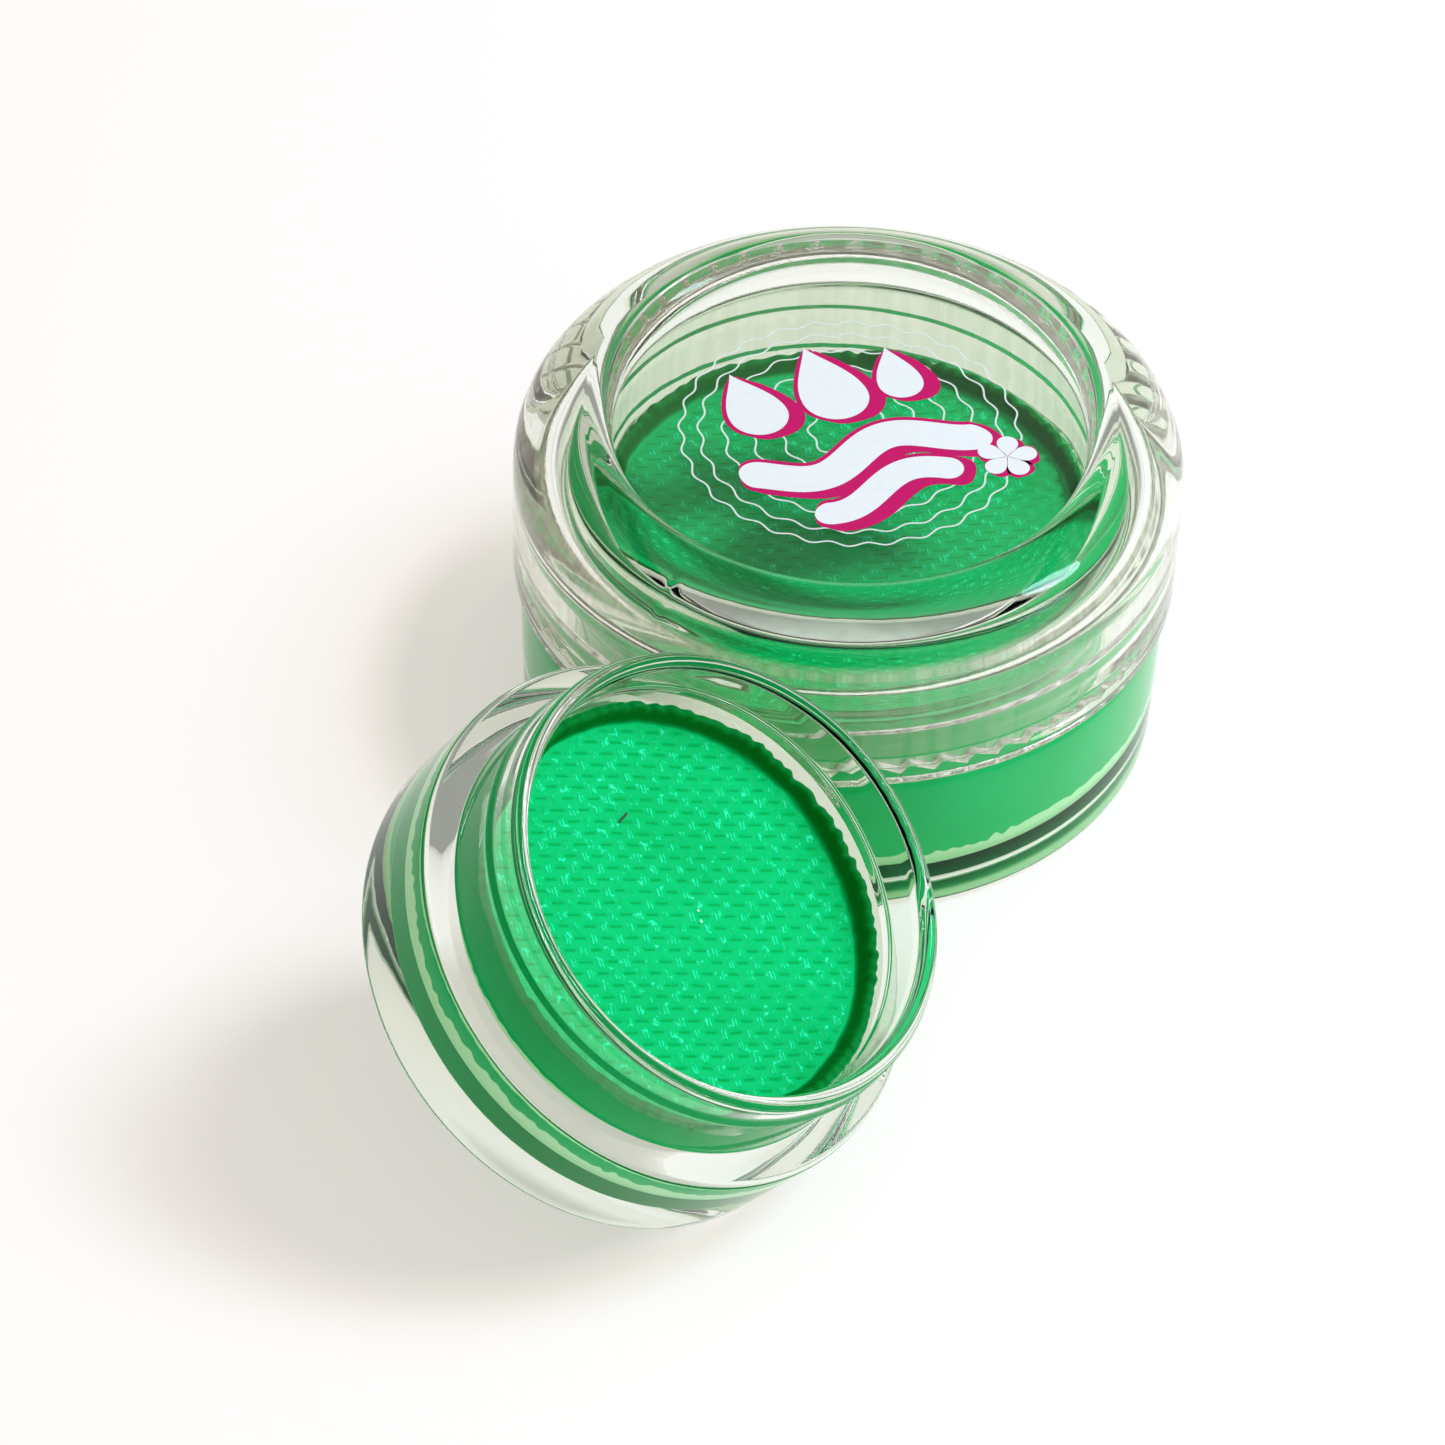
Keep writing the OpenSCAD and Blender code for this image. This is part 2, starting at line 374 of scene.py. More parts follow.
def clear_plastic():
    """Clear, glossy moulded plastic with faint flow marks and hairline scratches. The tone map's x holds where
    it is not polished and looks frosted, and where a painted highlight ring lies at the top of the lid's bore.
    Light on its way to a lamp passes straight through, so that what it holds is lit, and comes out dimmer and
    warmer where it grazes an edge."""
    s = material("clear_plastic")
    where = s.add("ShaderNodeTexCoord", out="Object")
    stretched = s.add("ShaderNodeMapping", {}, {
        "Vector": where, "Rotation": (0.3, 0.5, 0.9), "Scale": (1.0, 14.0, 3.0),
    })
    flow = noise(s, where, 220.0)
    hairs = noise(s, stretched, 900.0, 2.0)
    bump = s.add("ShaderNodeBump", {}, {"Strength": 0.05, "Distance": 0.0002, "Height": flow})
    roughness = 0.012 + hairs.step(0.64, 0.78) * 0.05
    body = s.add("ShaderNodeBsdfPrincipled", {}, {
        "Base Color": PLASTIC_TINT, "Roughness": roughness, "IOR": PLASTIC_IOR,
        "Transmission Weight": 1.0, "Normal": bump, "Specular Tint": (0.08, 0.16, 0.14),
    })
    tone = s.add("ShaderNodeAttribute", {"attribute_name": "tone"}, out="Vector")
    frost_and_painted_highlight = s.part(tone, 0)
    upright = s.add("ShaderNodeMapping", {}, {"Vector": where, "Scale": (1.0, 1.0, 0.06)})
    streaks = noise(s, upright, 1400.0, 3.0).step(0.3, 0.7)
    haze_and_painted_light = s.add("ShaderNodeBsdfDiffuse", {}, {"Color": (0.86, 0.90, 0.80)})
    # A pale diffuse share: frosting where not polished, and a painted highlight ring at the bore's top
    body = s.add("ShaderNodeMixShader", {}, {0: frost_and_painted_highlight * (streaks * 0.10 + 0.12), 1: body, 2: haze_and_painted_light})
    face_on = s.add("ShaderNodeBsdfTransparent", {}, {"Color": (0.98, 0.965, 0.935)})
    edge_on = s.add("ShaderNodeBsdfTransparent", {}, {"Color": (0.60, 0.48, 0.36)})
    edge = s.add("ShaderNodeLayerWeight", {}, {"Blend": 0.5}, out="Facing").power(3.0)
    through = s.add("ShaderNodeMixShader", {}, {0: edge, 1: face_on, 2: edge_on})
    passing = s.ray("Is Shadow Ray").at_least(s.ray("Is Diffuse Ray"))
    return s.finish(s.add("ShaderNodeMixShader", {}, {0: passing, 1: body, 2: through}))


def pressed_paint():
    """Waxy green paint. The press map holds the place on a cake in millimetres: dark dashes of painted shade
    lie along the rows of the weave, and pairs of thin painted highlights run down the sides of the pads that
    cross each row. The tone map holds where shade is painted (x) and where light is painted as a pale veil
    against the clear wall (y)."""
    s = material("pressed_paint")
    where = s.add("ShaderNodeTexCoord", out="Object")
    press = s.add("ShaderNodeAttribute", {"attribute_name": "press"}, out="Vector")
    tone = s.add("ShaderNodeAttribute", {"attribute_name": "tone"}, out="Vector")
    across = s.part(press, 0)
    along = s.part(press, 1)
    on_top = s.part(press, 2)
    painted_shade = s.part(tone, 0)
    haze_and_painted_light = s.part(tone, 1)
    wander = noise(s, where, 700.0, 2.0) - 0.5
    line = along / WEAVE_ROW + wander * 0.22
    number = (line + 0.5).floor()
    off = line - number
    slid = across + (off + WEAVE_DROP) * (WEAVE_SLANT * WEAVE_ROW) + wander * 0.25
    turn = (slid / WEAVE_PERIOD - number * WEAVE_STAGGER).fraction()
    off_yarn = (turn - 0.5).absolute() * WEAVE_PERIOD
    # Painted shade: dark dashes along the row lines between the pads, where the grooves lie in shadow
    painted_groove_shade = (1.0 - off.absolute().step(0.02, 0.16)) * (off_yarn + wander * 0.5).step(0.36, 0.56)
    # Painted highlights: two thin bright lines down each pad's sides, broken up, and bright dots near the pads
    edge = (off_yarn - YARN_HALF * 0.75).absolute()
    glint_stroke = (1.0 - edge.step(0.015, 0.07)) * (1.0 - (off + WEAVE_DROP).absolute().step(0.30, 0.48))
    broken = noise(s, where, 1900.0, 2.0).step(0.40, 0.60)
    drops = noise(s, where, 2400.0, 1.0).step(0.62, 0.72) * (1.0 - off_yarn.step(0.25, 0.6))
    painted_glint = (glint_stroke * broken).at_least(drops) * on_top
    worn = noise(s, where, 120.0, 3.0).step(0.28, 0.42)
    colour = s.blend(noise(s, where, 160.0, 4.0).step(0.35, 0.7) * 0.22, PAINT_GREEN, PAINT_DARK_TONE_AND_SHADE)
    colour = s.blend(painted_groove_shade * on_top * worn * 0.75, colour, PAINT_DARK_TONE_AND_SHADE)
    colour = s.blend(painted_glint * worn * 0.9, colour, PAINT_GLINT_HIGHLIGHT)
    # Painted light: a pale veil against the clear wall, at the ragged band and the foot's round
    colour = s.blend(haze_and_painted_light, colour, PAINT_PAINTED_LIGHT)
    # Painted shade: darker green on the lip, down the side and under the foot
    colour = s.blend(painted_shade, colour, PAINT_SHADE)
    grain = noise(s, where, 4200.0, 4.0, 0.6)
    bump = s.add("ShaderNodeBump", {}, {"Strength": 0.3, "Distance": 0.00004, "Height": grain + painted_glint * 0.8})
    return s.finish(s.add("ShaderNodeBsdfPrincipled", {}, {
        "Base Color": colour, "Roughness": 0.50 - painted_glint * 0.22, "Normal": bump,
        "IOR": 1.36, "Specular IOR Level": 0.05,
    }))


def label_film():
    """Clear film: nearly invisible, with only a trace of milkiness and gloss."""
    s = material("label_film")
    where = s.add("ShaderNodeTexCoord", out="Object")
    body = s.add("ShaderNodeBsdfPrincipled", {}, {
        "Base Color": (0.93, 0.96, 0.95), "Roughness": 0.05 + noise(s, where, 300.0) * 0.05,
        "Alpha": 0.007, "IOR": 1.3,
    })
    return s.finish(body)


def ink(name, colour, shade):
    """Screen-printed ink: even, with a slight mottle in colour and gloss."""
    s = material(name)
    where = s.add("ShaderNodeTexCoord", out="Object")
    mottle = noise(s, where, 1500.0, 3.0)
    bump = s.add("ShaderNodeBump", {}, {"Strength": 0.1, "Distance": 0.00002, "Height": mottle})
    return s.finish(s.add("ShaderNodeBsdfPrincipled", {}, {
        "Base Color": s.blend(mottle.step(0.4, 0.8) * 0.5, colour, shade),
        "Roughness": 0.35 + mottle * 0.1, "Normal": bump, "Specular IOR Level": 0.2,
    }))


PLASTIC = clear_plastic()
PAINT = pressed_paint()
FILM = label_film()
INK_WHITE = ink("ink_ice_white", (0.72, 0.80, 0.83), (0.65, 0.75, 0.79))
INK_MAGENTA = ink("ink_magenta", (0.50, 0.002, 0.125), (0.41, 0.002, 0.098))
INK_LINE = ink("ink_silver_line", (0.62, 0.74, 0.70), (0.50, 0.64, 0.60))
FLECK = ink("dark_fleck", (0.004, 0.030, 0.006), (0.002, 0.015, 0.003))
GRAIN = ink("pale_grain", (0.30, 0.86, 0.62), (0.15, 0.75, 0.45))


# ---------------------------------------------------------------------------
# Jars, lid and label film
# ---------------------------------------------------------------------------
def make_jar(name, size, turns, place, thread_start, thread_turns):
    """A one-piece jar turned from its section, with a helical thread raised on its neck."""
    body_r, neck_r = size["body_r"], size["neck_r"]
    rim_z, shoulder_z, floor_z = size["rim_z"], size["shoulder_z"], size["floor_z"]
    cup_r = neck_r - RIM_WALL
    rows = section([
        (0, size["recess_z"], 0, 2.0),
        (cup_r - DRAFT, size["recess_z"], 0.10, 0.8),
        (cup_r - DRAFT + size["flare"], 0, SHARP_ROUND, 0.8),
        (body_r - DRAFT, 0, FOOT_ROUND, 0.8),
        (body_r, shoulder_z, EDGE_ROUND, 0.8),
        (neck_r, shoulder_z, SHARP_ROUND, 0.1),
        (neck_r, rim_z, RIM_ROUND, 0.1),
        (cup_r, rim_z, RIM_ROUND, 0.8),
        (cup_r - DRAFT, floor_z, INNER_ROUND, 2.0),
        (0, floor_z, 0, 1.0),
    ])

    def thread(angle, r, z):
        on_neck = (np.abs(r - neck_r) < NEAR) & (z > shoulder_z)
        ridge = thread_height(angle, z, shoulder_z + thread_start, thread_turns, NECK_THREAD_W)
        return r + on_neck * ridge * NECK_THREAD_H, z

    jar = lathe(name, rows, turns, thread, place)
    jar.data.materials.append(PLASTIC)
    return jar


def make_lid():
    """The lid turned from its section, with the thread in its bore, the ratchet teeth under its skirt and
    a mould nub on its shoulder. It has eight points round the lid for each tooth."""
    turns = 8 * TOOTH_COUNT
    groove_z = SKIRT_Z + TOOTH_H + TOOTH_INSET
    ring_r = BORE_R + TOOTH_RING
    crown_r = LID_R - SHOULDER_R
    crown_in, crown_h = crown_r - RECESS_R, LID_TOP - RECESS_EDGE_Z
    bow = (crown_in ** 2 + crown_h ** 2) / (2 * crown_h)
    bend_r = crown_r - bow * math.tan(math.asin(crown_in / bow) / 2)
    rows = section([
        (0, CEILING_Z, 0, 2.0),
        (BORE_R, CEILING_Z, INNER_ROUND, 0.1),
        (BORE_R, groove_z, 0.08, 0.2),
        (ring_r, groove_z, 0.08, 0.2),
        (ring_r, SKIRT_Z, 0.08, 0.4),
        (LID_R, SKIRT_Z, EDGE_ROUND, 1.0),
        (LID_R, LID_TOP, SHOULDER_R, 0.6),
        (bend_r, LID_TOP, bow * 0.9, 0.3),
        (RECESS_R, RECESS_EDGE_Z, 0.10, 0.3),
        (RECESS_R, RECESS_Z, 0.10, 1.0),
        (0, RECESS_Z, 0, 1.0),
    ], turn=9)

    def thread_and_teeth(angle, r, z):
        in_bore = (np.abs(r - BORE_R) < NEAR) & (z > groove_z + 0.3) & (z < CEILING_Z - INNER_ROUND)
        ridge = thread_height(angle, z, groove_z + 0.9, 1.6, BORE_THREAD_W, phase=0.5)
        on_ring = (z <= groove_z + 1e-6) & (z > groove_z - 0.06) & (r > BORE_R + 0.05) & (r < ring_r - 0.05)
        share = (angle * TOOTH_COUNT / (2 * np.pi)) % 1.0
        ramp = np.where(share < TOOTH_RAMP, share / TOOTH_RAMP, (1.0 - share) / (1.0 - TOOTH_RAMP))
        off_nub = (angle - NUB_TURN + np.pi) % (2 * np.pi) - np.pi
        nub = np.exp(-((off_nub * r / NUB_WIDE) ** 2) - ((r - NUB_R) / NUB_LONG) ** 2)
        nub = nub * (z > groove_z + 5.0) * NUB_H
        return r - in_bore * ridge * BORE_THREAD_H + nub, z - on_ring * ramp * TOOTH_H + nub

    lid = lathe("large_lid_clear", rows, turns, thread_and_teeth)
    row_r, row_z = rows[1:-1, 0], rows[1:-1, 1]
    on_bore = (np.abs(row_r - BORE_R) < NEAR) & (row_z > groove_z + 0.1)
    # Painted highlight: more frosting in a ring at the top of the bore, where light is caught in the corner
    painted_highlight_ring = (np.abs(row_r - BORE_R) < 0.06) & (row_z > CEILING_Z - INNER_ROUND - 0.35)
    on_teeth = (row_z < groove_z + NEAR) & (row_r > BORE_R + 0.05) & (row_r < ring_r - 0.05)
    haze_and_painted_light_share = np.repeat(on_bore + painted_highlight_ring * TOP_PAINTED_HIGHLIGHT + on_teeth * TEETH_HAZE, turns)
    haze_and_painted_light_share = np.concatenate([haze_and_painted_light_share, [0.0, 0.0]])
    set_map(lid, "tone", np.stack([haze_and_painted_light_share, haze_and_painted_light_share * 0, haze_and_painted_light_share * 0], -1))
    lid.data.materials.append(PLASTIC)
    return lid


def make_film():
    """The label's clear film: a thin disc in the lid's recess."""
    edge = label_high[0]
    rows = section([
        (0, label_low[2] + 0.01, 0, 3.0),
        (edge, label_low[2] + 0.01, 0.03, 0.05),
        (edge, label_high[2], 0.05, 3.0),
        (0, label_high[2], 0, 1.0),
    ], turn=4)
    film = lathe("label_film_disc", rows, 240)
    film.data.materials.append(FILM)
    return film


# ---------------------------------------------------------------------------
# Pressed paint
# ---------------------------------------------------------------------------
def weave_height(across, along):
    """Relief of the press cloth: a groove, 1 - smoothstep of the distance, along each row line, and pads
    that bridge it a period apart. Pads of the next row lie about half a period further on."""
    relief = np.zeros_like(across)
    for near in (0, 1):
        number = np.floor(along / WEAVE_ROW) + near
        off = along / WEAVE_ROW - number
        slid = across + (off + WEAVE_DROP) * WEAVE_SLANT * WEAVE_ROW
        turn = (slid / WEAVE_PERIOD - number * WEAVE_STAGGER) % 1.0
        off_yarn = np.abs(turn - 0.5) * WEAVE_PERIOD
        pad = smooth((YARN_HALF - off_yarn) / 0.12 + 0.5) * smooth((0.56 - np.abs(off + WEAVE_DROP)) / 0.2)
        between = 0.25 + 0.75 * smooth((off_yarn - 0.30) / 0.25)
        groove = (1.0 - smooth(np.abs(off) / 0.24)) * between * (1.0 - pad)
        relief += PAD_H * pad - GROOVE_H * groove
    return relief


def cup_radius(size, z):
    """Radius of a cup's side at height z: it tapers evenly from the rim to the floor."""
    return size["neck_r"] - RIM_WALL - DRAFT * (size["rim_z"] - z) / (size["rim_z"] - size["floor_z"])


def make_cake(name, size, grain_turn, seed, count, place):
    """A pressed cake. Its top is a square grid (a, b) laid onto a disc by
    (a sqrt(1 - b^2/2), b sqrt(1 - a^2/2)) and raised by the weave. The lip, side and floor are rings that
    carry on from the grid's edge."""
    top_z, floor_z = size["cake_z"], size["floor_z"] - PAINT_BITE
    side_shade, side_painted_light = size["side_shade"], size["side_painted_light"]
    wall_r = cup_radius(size, top_z + LIP_H) + PAINT_BITE
    flat_r = cup_radius(size, top_z) - LIP_W
    side = np.linspace(-1, 1, count)
    a, b = np.meshgrid(side, side)
    x, y = a * np.sqrt(1 - b * b / 2), b * np.sqrt(1 - a * a / 2)
    angle, reach = np.arctan2(y, x), np.hypot(x, y)
    r = reach * (flat_r + 0.10 * ripple(angle, seed, 60) * reach ** 6)
    x, y = r * np.cos(angle), r * np.sin(angle)
    across = x * math.cos(grain_turn) + y * math.sin(grain_turn)
    along = -x * math.sin(grain_turn) + y * math.cos(grain_turn)
    along = along + 0.03 * np.sin(across * 0.6 + 0.4 * np.sin(along * 0.5))
    calm = smooth((1.0 - reach) / 0.03)
    sag = 0.05 * np.cos(across * 0.21 + 1.0) * np.cos(along * 0.27)
    z = top_z - 0.06 + weave_height(across, along) * calm + sag
    top = np.stack([x, y, z], -1).reshape(-1, 3)

    index = np.arange(count * count).reshape(count, count)
    quads = np.stack([index[:-1, :-1], index[:-1, 1:], index[1:, 1:], index[1:, :-1]], -1).reshape(-1, 4)
    rim = np.concatenate([index[0, :-1], index[:-1, -1], index[-1, :0:-1], index[:0:-1, 0]])
    turn = np.arctan2(top[rim, 1], top[rim, 0])
    rim_r, rim_z = np.hypot(top[rim, 0], top[rim, 1]), top[rim, 2]

    lip_h = LIP_H * (0.86 + 0.16 * ripple(turn, seed + 1, 110, 0.2) + 0.16 * ripple(turn, seed + 2, 16, 0.2))
    lip_h = np.clip(lip_h, 0.3, LIP_H)
    slope = 0.05 * ripple(turn, seed + 3, 50, 0.4)
    ones = np.ones_like(turn)
    rings, shade, haze_and_painted_light_share = [], [], []

    # The lip's inner side and top: the share of the way out to the wall, that of the way up, and the painted
    # shade
    for out, up, dark in (
        (0.05, 0.08, 0.35), (0.12, 0.25, 0.9), (0.19, 0.48, 1.0), (0.27, 0.72, 1.0),
        (0.35, 0.91, 1.0), (0.46, 1.0, 0.9), (0.62, 1.03, 0.8), (0.80, 1.0, 0.8),
    ):
        lip_r = rim_r + (wall_r - rim_r) * out + slope * up * (1 - out)
        rings.append([lip_r, rim_z + (top_z + lip_h - rim_z) * up])
        shade.append(dark * ones)
        haze_and_painted_light_share.append(0 * ones)

    # The side against the cup's wall, with its painted shade and light, down to a ragged band of painted light,
    # and then the round foot
    painted_light_h = 0.42 + 0.16 * ripple(turn, seed + 4, 120, 0.2) + 0.20 * ripple(turn, seed + 5, 12, 0.3)
    painted_light_z = floor_z + INNER_ROUND + np.clip(painted_light_h, 0.03, None)
    for height, dark, pale in (
        (top_z + lip_h * 0.8, side_shade, side_painted_light),
        (top_z + lip_h * 0.2, side_shade, side_painted_light),
        (painted_light_z + 0.04, side_shade * 0.3, side_painted_light),
        (painted_light_z, 0.0, 1.0),
        (floor_z + INNER_ROUND, 0.0, 1.0),
    ):
        rings.append([cup_radius(size, height * ones) + PAINT_BITE, height * ones])
        shade.append(dark * ones)
        haze_and_painted_light_share.append(pale * ones)
    foot_r = cup_radius(size, floor_z) + PAINT_BITE - INNER_ROUND
    for swing in np.linspace(0.2, 1.0, 5) * np.pi / 2:
        foot_z = floor_z + INNER_ROUND * (1 - math.sin(swing))
        rings.append([(foot_r + INNER_ROUND * math.cos(swing)) * ones, foot_z * ones])
        # The foot's round: painted light on its side, painted shade underneath
        underneath = swing > 1.0
        shade.append((FOOT_SHADE if underneath else 0.0) * ones)
        haze_and_painted_light_share.append((0.0 if underneath else 0.9) * ones)

    ring_r, ring_z = np.array([ring[0] for ring in rings]), np.array([ring[1] for ring in rings])
    ring_points = np.stack([ring_r * np.cos(turn), ring_r * np.sin(turn), ring_z], -1).reshape(-1, 3)
    start, rim_count = len(top), len(rim)
    first = start + np.arange(rim_count)
    joint = np.stack([rim, first, np.roll(first, -1), np.roll(rim, -1)], 1)
    around = ring_faces(len(rings), rim_count, start)[:, ::-1]
    last = start + (len(rings) - 1) * rim_count + np.arange(rim_count)
    pole = start + len(ring_points)
    cap = np.stack([last, np.full(rim_count, pole), np.roll(last, -1)], 1)
    points = np.vstack([top, ring_points, [[0, 0, floor_z]]])
    cake = make_mesh(name, points, list(quads) + list(joint) + list(around) + list(cap), place)

    rest = np.zeros(len(points) - start)
    press = np.stack([
        np.concatenate([across.reshape(-1), rest]),
        np.concatenate([along.reshape(-1), rest]),
        np.concatenate([calm.reshape(-1), rest]),
    ], -1)
    tone = np.stack([
        np.concatenate([np.zeros(start), np.array(shade).reshape(-1), [FOOT_SHADE]]),
        np.concatenate([np.zeros(start), np.array(haze_and_painted_light_share).reshape(-1), [0.0]]),
        np.zeros(len(points)),
    ], -1)
    set_map(cake, "press", press)
    set_map(cake, "tone", tone)
    cake.data.materials.append(PAINT)
    return cake


# ---------------------------------------------------------------------------
# Print on the label: ribbons of ink with round or pointed ends, in layers at heights above the film
# ---------------------------------------------------------------------------
POINT_HALF = 0.004
LINE_HALF = 0.055
LINE_LAYER = (0.004, 0.012)
SHADOW_LAYER = (0.014, 0.020)
PETAL_SHADOW_LAYER = (0.014, 0.021)
SHAPE_LAYER = (0.030, 0.040)
PETAL_LAYER = (0.030, 0.038)
SHADOW_RISE = 0.002
SHADOW_GROWN = 0.30
PETAL_SHADOW_GROWN = 0.22


def ribbon(path, half_width, low, high):
    """Points and faces of a flat strip of ink between two heights. At each step along the path, the strip
    reaches half_width to both sides at right angles to it."""
    ahead = np.gradient(path, axis=0)
    ahead /= np.linalg.norm(ahead, axis=1, keepdims=True)
    beside = np.stack([-ahead[:, 1], ahead[:, 0]], 1)
    share = np.linspace(-1, 1, 5)
    flat = path[:, None] + beside[:, None] * (half_width[:, None] * share)[..., None]
    steps, wide = flat.shape[:2]
    top = np.concatenate([flat, np.full((steps, wide, 1), high)], -1).reshape(-1, 3)
    bottom = np.concatenate([flat, np.full((steps, wide, 1), low)], -1).reshape(-1, 3)
    index = np.arange(steps * wide).reshape(steps, wide)
    quads = np.stack([index[:-1, 1:], index[1:, 1:], index[1:, :-1], index[:-1, :-1]], -1).reshape(-1, 4)
    rim = np.concatenate([index[0, :-1], index[:-1, -1], index[-1, :0:-1], index[:0:-1, 0]])
    under = steps * wide
    walls = np.stack([rim, np.roll(rim, -1), np.roll(rim, -1) + under, rim + under], 1)[:, ::-1]
    return np.vstack([top, bottom]), np.vstack([quads, quads[:, ::-1] + under, walls])


def ink_piece(name, strips, coat, place=UPRIGHT):
    """One piece of ink from many ribbons."""
    points, faces, count = [], [], 0
    for strip_points, strip_faces in strips:
        points.append(strip_points)
        faces.append(strip_faces + count)
        count += len(strip_points)
    piece = make_mesh(name, np.vstack(points), np.vstack(faces), place)
    piece.data.polygons.foreach_set("use_smooth", np.zeros(len(piece.data.polygons), bool))
    piece.data.materials.append(coat)
    return piece


def drop_outline(tip, bulb, radius, steps=40):
    """A drop: its half-width grows from its pointed tip like a quarter sine to the power 1.25, and closes
    round the bulb like a circle."""
    tip, bulb = np.array(tip, float), np.array(bulb, float)
    ahead = (bulb - tip) / np.linalg.norm(bulb - tip)
    s = (1 - np.cos(np.linspace(0, np.pi, steps))) / 2
    length = np.linalg.norm(bulb - tip) + radius
    path = tip + ahead * (s * length)[:, None]
    centre = 1 - radius / length
    ball = np.sqrt(np.clip(1 - ((s - centre) / (1 - centre)) ** 2, 0, 1))
    width = radius * np.where(s > centre, ball, np.sin(np.pi / 2 * s / centre) ** 1.25)
    return path, np.maximum(width, POINT_HALF)


def bar_outline(path, half):
    """A bar of one width along a path, with round ends."""
    length = np.concatenate([[0], np.cumsum(np.linalg.norm(np.diff(path, axis=0), axis=1))])
    near_end = np.minimum(length, length[-1] - length)
    width = half * np.sqrt(np.clip(1 - (1 - np.clip(near_end / half, 0, 1)) ** 2, 0, 1))
    return path, np.maximum(width, POINT_HALF)


def make_print():
    """The print: fine wavy rings, two chunky waves with drops over them, and a small daisy. Each shape lies
    on a wider shadow that is slid to one side."""
    turn = math.radians(24)
    spin = np.array([[math.cos(turn), -math.sin(turn)], [math.sin(turn), math.cos(turn)]])

    def layer(path, width, heights, rise=0.0):
        low, high = heights
        return ribbon(path, width, label_high[2] + low, label_high[2] + high + rise)

    def wave(offset, length, lean):
        s = (1 - np.cos(np.linspace(0, np.pi, 90))) / 2
        x = (s - 0.5) * length
        return np.stack([x, offset + 1.0 * np.sin(x * 0.62 + lean)], 1) @ spin.T

    lines = []
    circle = np.linspace(0, 2 * np.pi, 361)
    for radius, lobes in ((2.3, 8), (4.0, 12), (5.7, 16), (7.3, 20), (8.7, 24), (9.8, 28)):
        wavy = radius + 0.16 * np.cos(lobes * circle)
        path = np.stack([wavy * np.cos(circle), wavy * np.sin(circle)], 1)
        lines.append(layer(path, np.full(len(path), LINE_HALF), LINE_LAYER))

    shapes = [
        bar_outline(wave(-2.1, 15.0, 0.4), 1.12),
        bar_outline(wave(-5.3, 9.5, 0.4), 0.92),
    ]
    drops = (
        ((-4.6, 7.2), (-4.4, 3.2), 1.75),
        ((0.4, 7.9), (0.4, 3.1), 2.0),
        ((4.9, 6.2), (4.5, 2.9), 1.35),
    )
    shapes += [drop_outline(spin @ np.array(tip), spin @ np.array(bulb), radius) for tip, bulb, radius in drops]
    shadow = spin @ np.array([0.55, -0.50])
    white = [layer(path, width, SHAPE_LAYER) for path, width in shapes]
    magenta = []
    for path, width in shapes:
        wider = np.maximum(width + SHADOW_GROWN * np.clip(width / 0.5, 0, 1), POINT_HALF)
        for share in (0.0, 0.5, 1.0):
            magenta.append(layer(path + shadow * share, wider, SHADOW_LAYER, SHADOW_RISE * share))

    centre = np.array([9.1, -1.8])
    petals = [
        drop_outline(centre, centre + 1.15 * np.array([math.cos(a), math.sin(a)]), 0.62, 24)
        for a in np.arange(5) * 2 * math.pi / 5 + 0.3
    ]
    daisy_white = [layer(path, width, PETAL_LAYER) for path, width in petals]
    for path, width in petals:
        wider = width + PETAL_SHADOW_GROWN * np.clip(width / 0.3, 0, 1)
        magenta.append(layer(path + [0.12, -0.12], wider, PETAL_SHADOW_LAYER))
    return [
        ink_piece("print_fine_lines", lines, INK_LINE),
        ink_piece("print_shadows", magenta, INK_MAGENTA),
        ink_piece("print_shapes", white + daisy_white, INK_WHITE),
    ]


def make_specks():
    """A dark fleck and a few pale grains that lie on the small cake, each a short bar between two points
    given along the rows of the weave and across them."""
    turn, top = SMALL_GRAIN, SMALL["cake_z"]
    spin = np.array([[math.cos(turn), math.sin(turn)], [-math.sin(turn), math.cos(turn)]])
    sunk, raised = 0.03, 0.045

    def bar(start, end, half):
        path = np.linspace(start, end, 12) @ spin
        return ribbon(*bar_outline(path, half), top - sunk, top + raised)

    pale = [
        ((1.27, 0.33), (1.31, 0.20), 0.10),
        ((1.30, -0.26), (1.36, -0.46), 0.09),
        ((1.09, 1.02), (1.14, 0.98), 0.07),
    ]
    return [
        ink_piece("cake_fleck", [bar((-2.65, 5.38), (-1.94, 5.98), 0.06)], FLECK, LEAN),
        ink_piece("cake_grains", [bar(*grain) for grain in pale], GRAIN, LEAN),
    ]


large_jar = make_jar("large_jar_clear", LARGE, 300, UPRIGHT, 1.6, 1.7)
small_jar = make_jar("small_jar_clear", SMALL, 300, LEAN, 1.7, 1.15)
large_lid = make_lid()
film = make_film()
large_cake = make_cake("large_cake_pressed", LARGE, LARGE_GRAIN, 11, 260, UPRIGHT)
small_cake = make_cake("small_cake_pressed", SMALL, SMALL_GRAIN, 23, 276, LEAN)
prints = make_print()
specks = make_specks()

for piece, node, body, slot in (
    (large_jar, "large_jar", "large_pot", "clear_plastic"),
    (large_cake, "large_paint", "large_pot", "pressed_paint"),
    (large_lid, "large_lid", "lid", "clear_plastic"),
    (film, "lid_label", "label", "label_film"),
    (small_jar, "small_jar", "small_pot", "clear_plastic"),
    (small_cake, "small_paint", "small_pot", "pressed_paint"),
):
    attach(piece, body)
    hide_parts(node)
for piece in prints:
    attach(piece, "lid")
for piece in specks:
    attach(piece, "small_pot")


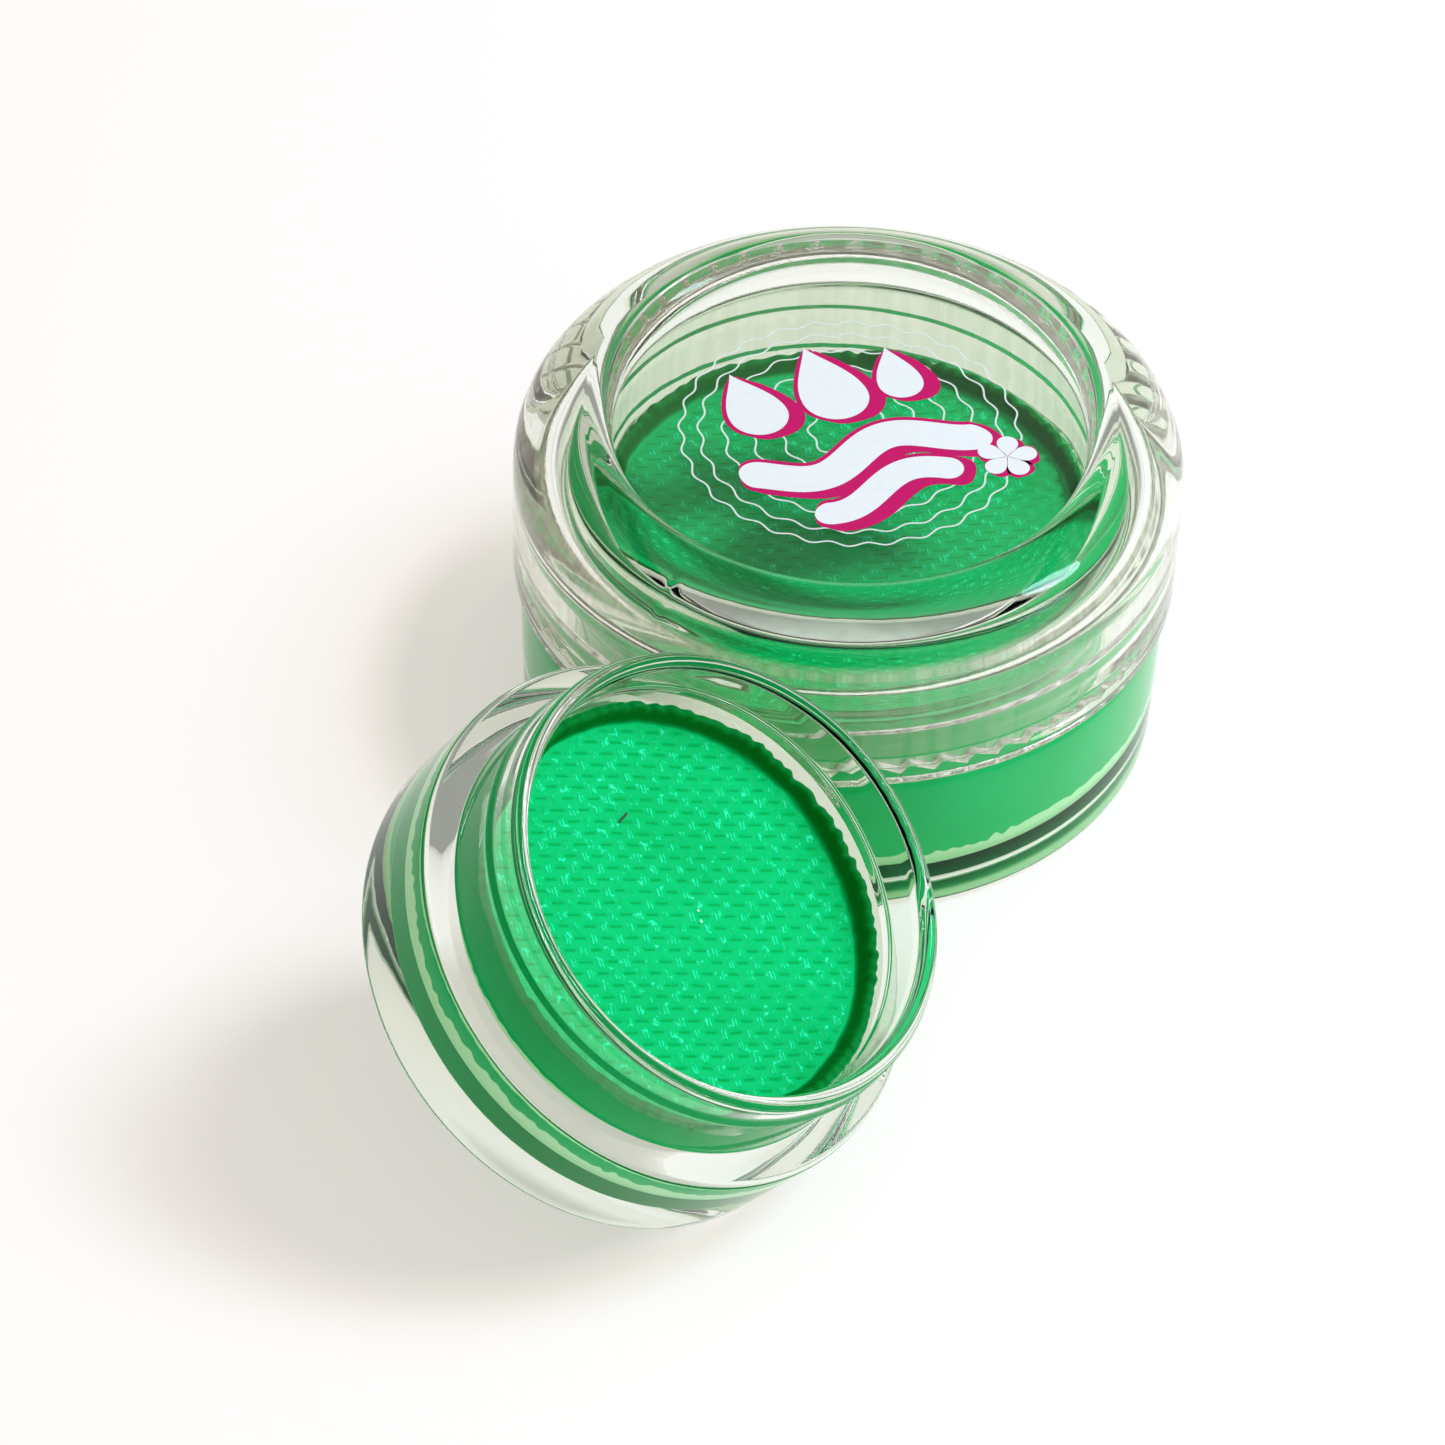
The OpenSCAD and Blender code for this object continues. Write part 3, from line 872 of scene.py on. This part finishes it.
# ---------------------------------------------------------------------------
# Floor, lights and camera
# ---------------------------------------------------------------------------
def make_floor():
    """A pale floor that keeps the soft shadow and runs out to white."""
    half, drop = 3000.0, 0.02
    points = np.array([[-half, -half, -drop], [half, -half, -drop], [half, half, -drop], [-half, half, -drop]])
    floor = make_mesh("floor", points, [np.array([0, 1, 2, 3])])
    s = material("pale_floor")
    lit = s.add("ShaderNodeBsdfDiffuse", {}, {"Color": (0.96, 0.945, 0.925)})
    white = s.add("ShaderNodeEmission", {}, {"Color": (1.0, 1.0, 1.0), "Strength": 1.0})
    seen = s.ray("Is Camera Ray").at_least(s.ray("Is Glossy Ray")).at_least(s.ray("Is Transmission Ray"))
    paled = s.add("ShaderNodeMixShader", {}, {0: seen * 0.43, 1: lit, 2: white})
    floor.data.materials.append(s.finish(paled))


def make_world():
    """White behind the pots, warm light all round, and a studio for reflections and for looks through the
    plastic: bright overhead and low behind, grey between them, and dark at the front."""
    world = bpy.data.worlds.new("studio")
    bpy.context.scene.world = world
    s = Shader(world)
    way = s.add("ShaderNodeTexCoord", out="Generated")
    x = s.part(way, 0)
    y = s.part(way, 1)
    z = s.part(way, 2)
    overhead = (z + x * 0.25 + y * 0.1).step(0.80, 0.95)
    low_behind = (1.0 - z.step(0.12, 0.35)) * y.step(-0.2, 0.3)
    seen = s.blend((y * 0.8 + x * 0.3).step(-0.75, -0.35), (0.13, 0.12, 0.11), (0.36, 0.36, 0.34))
    seen = s.blend(overhead.at_least(low_behind), seen, (1.0, 1.0, 1.0))
    ambient = s.add("ShaderNodeBackground", {}, {"Color": (1.0, 0.87, 0.73), "Strength": 0.58})
    shown = s.add("ShaderNodeBackground", {}, {"Color": seen, "Strength": 1.0})
    white = s.add("ShaderNodeBackground", {}, {"Color": (1.0, 1.0, 1.0), "Strength": 1.0})
    bounced = s.ray("Is Glossy Ray").at_least(s.ray("Is Transmission Ray"))
    mixed = s.add("ShaderNodeMixShader", {}, {0: bounced, 1: ambient, 2: shown})
    mixed = s.add("ShaderNodeMixShader", {}, {0: s.ray("Is Camera Ray"), 1: mixed, 2: white})
    s.finish(mixed, "ShaderNodeOutputWorld")


def make_lamp(name, place, aim, size, watts, colour=(1.0, 1.0, 1.0)):
    """A round area lamp at a place, turned to what it is aimed at."""
    data = bpy.data.lights.new(name, "AREA")
    data.shape, data.size, data.energy, data.color = "DISK", size, watts, colour
    lamp = bpy.data.objects.new(name, data)
    lamp.location = place
    lamp.rotation_euler = (Vector(aim) - Vector(place)).to_track_quat("-Z", "Y").to_euler()
    bpy.context.scene.collection.objects.link(lamp)


def make_camera():
    """The camera looks down at the pots from the front, through a long lens, tipped a little to one side.
    The lens is given as a focal length and the width of the view, both in pixels."""
    focal_px, view_px = 5641.7, 1445.0
    elevation, roll, distance = 0.7647, 0.0331, 0.33895
    target = Vector((-0.0068329, -0.0033026, 0.0))
    back = Vector((0.0, -math.cos(elevation), math.sin(elevation)))
    right = Vector((1.0, 0.0, 0.0))
    up = back.cross(right)
    side = right * math.cos(roll) + up * math.sin(roll)
    top = -right * math.sin(roll) + up * math.cos(roll)
    data = bpy.data.cameras.new("camera")
    data.sensor_width = 36.0
    data.lens = focal_px / view_px * data.sensor_width
    data.clip_start, data.clip_end = 0.01, 20.0
    camera = bpy.data.objects.new("camera", data)
    turned = Matrix((side, top, back)).transposed().to_4x4()
    camera.matrix_world = Matrix.Translation(target + back * distance) @ turned
    bpy.context.scene.collection.objects.link(camera)
    bpy.context.scene.camera = camera


make_floor()
make_world()
make_lamp("key", (0.30, 0.02, 0.38), (0.0, -0.01, 0.0), 0.13, 1.75, (0.93, 1.0, 1.18))
make_lamp("fill", (0.26, -0.34, 0.24), (0.0, 0.0, 0.0), 0.30, 0.22)
make_camera()
bpy.context.scene.view_settings.view_transform = "Standard"
